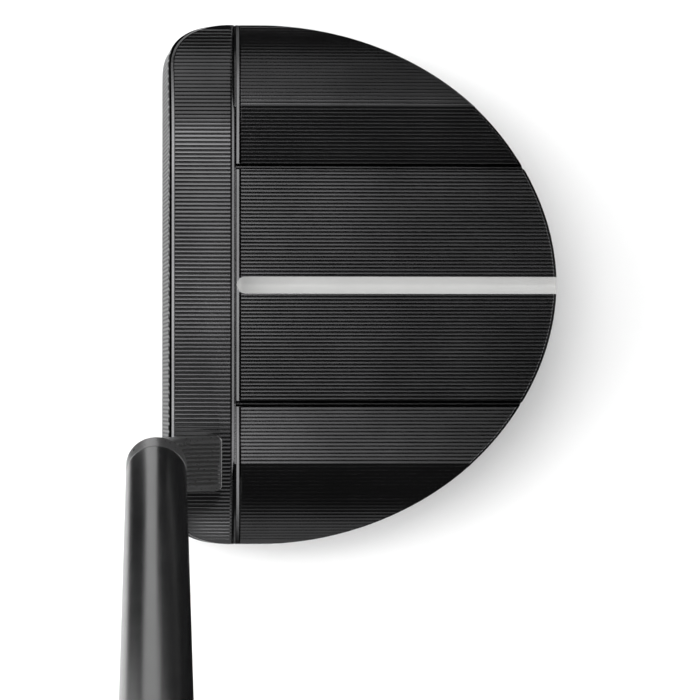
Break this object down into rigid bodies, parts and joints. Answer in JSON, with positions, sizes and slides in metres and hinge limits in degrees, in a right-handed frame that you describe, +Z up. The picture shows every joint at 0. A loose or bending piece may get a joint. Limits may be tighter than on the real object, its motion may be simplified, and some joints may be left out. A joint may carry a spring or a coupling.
{
  "type": "mallet putter",
  "caption": "Right-handed half-moon mallet putter with milled black head, white sight line, separate neck, tapered shaft and flat-front grip.",
  "frame": {"origin": "on the ground, on the flat sole under the sight line", "axes": "+X to the heel, towards the player; +Y to the back of the head; +Z up; the face looks to -Y"},
  "size_m": [0.3842, 0.0876, 0.8418],
  "materials": {
    "black_anodised": "fine milled, black anodised, satin",
    "black_steel": "milled, black coated, satin",
    "gloss_black": "gloss",
    "white_paint": "satin paint fill",
    "dark_aluminium": "anodised, brushed",
    "zinc_steel": "satin",
    "tungsten": "turned, satin",
    "seal_rubber": "matt",
    "polymer": "matt",
    "epoxy": "cured adhesive",
    "tape": "paper-backed adhesive tape",
    "foam": "closed-cell foam",
    "grip_rubber": "fine embossed, matt",
    "cap_rubber": "matt"
  },
  "bodies": {
    "club": {"head_body": "black_anodised", "sight_line_inlay": "white_paint", "damping_core": "polymer", "sole_plate": "dark_aluminium", "sole_screw_1": "zinc_steel", "sole_screw_2": "zinc_steel", "sole_screw_3": "zinc_steel", "sole_screw_4": "zinc_steel", "sole_screw_5": "zinc_steel", "sole_screw_6": "zinc_steel", "hosel_neck": "black_steel", "neck_screw": "zinc_steel", "shaft": "gloss_black", "shaft_epoxy": "epoxy", "grip_tape": "tape", "grip_core": "foam", "grip_skin": "grip_rubber", "grip_cap": "cap_rubber"},
    "toe_seal": {"toe_weight_seal": "seal_rubber"},
    "toe_weight": {"toe_weight": "tungsten"},
    "heel_seal": {"heel_weight_seal": "seal_rubber"},
    "heel_weight": {"heel_weight": "tungsten"}
  },
  "joints": [
    {"name": "toe_weight_travel", "type": "slide", "parent": "club", "child": "toe_seal", "axis": [0, 0, -1], "range_m": [0, 0.005]},
    {"name": "toe_weight_turn", "type": "hinge", "parent": "toe_seal", "child": "toe_weight", "pos_m": [-0.027, -0.01, 0.002], "axis": [0, 0, -1], "range_deg": [0, 1441]},
    {"name": "heel_weight_travel", "type": "slide", "parent": "club", "child": "heel_seal", "axis": [0, 0, -1], "range_m": [0, 0.005]},
    {"name": "heel_weight_turn", "type": "hinge", "parent": "heel_seal", "child": "heel_weight", "pos_m": [0.027, -0.01, 0.002], "axis": [0, 0, -1], "range_deg": [0, 1441]}
  ],
  "couplings": [
    {"joint": "toe_weight_turn", "follows": "toe_weight_travel", "rad_per_m": 5026.5},
    {"joint": "heel_weight_turn", "follows": "heel_weight_travel", "rad_per_m": 5026.5}
  ]
}
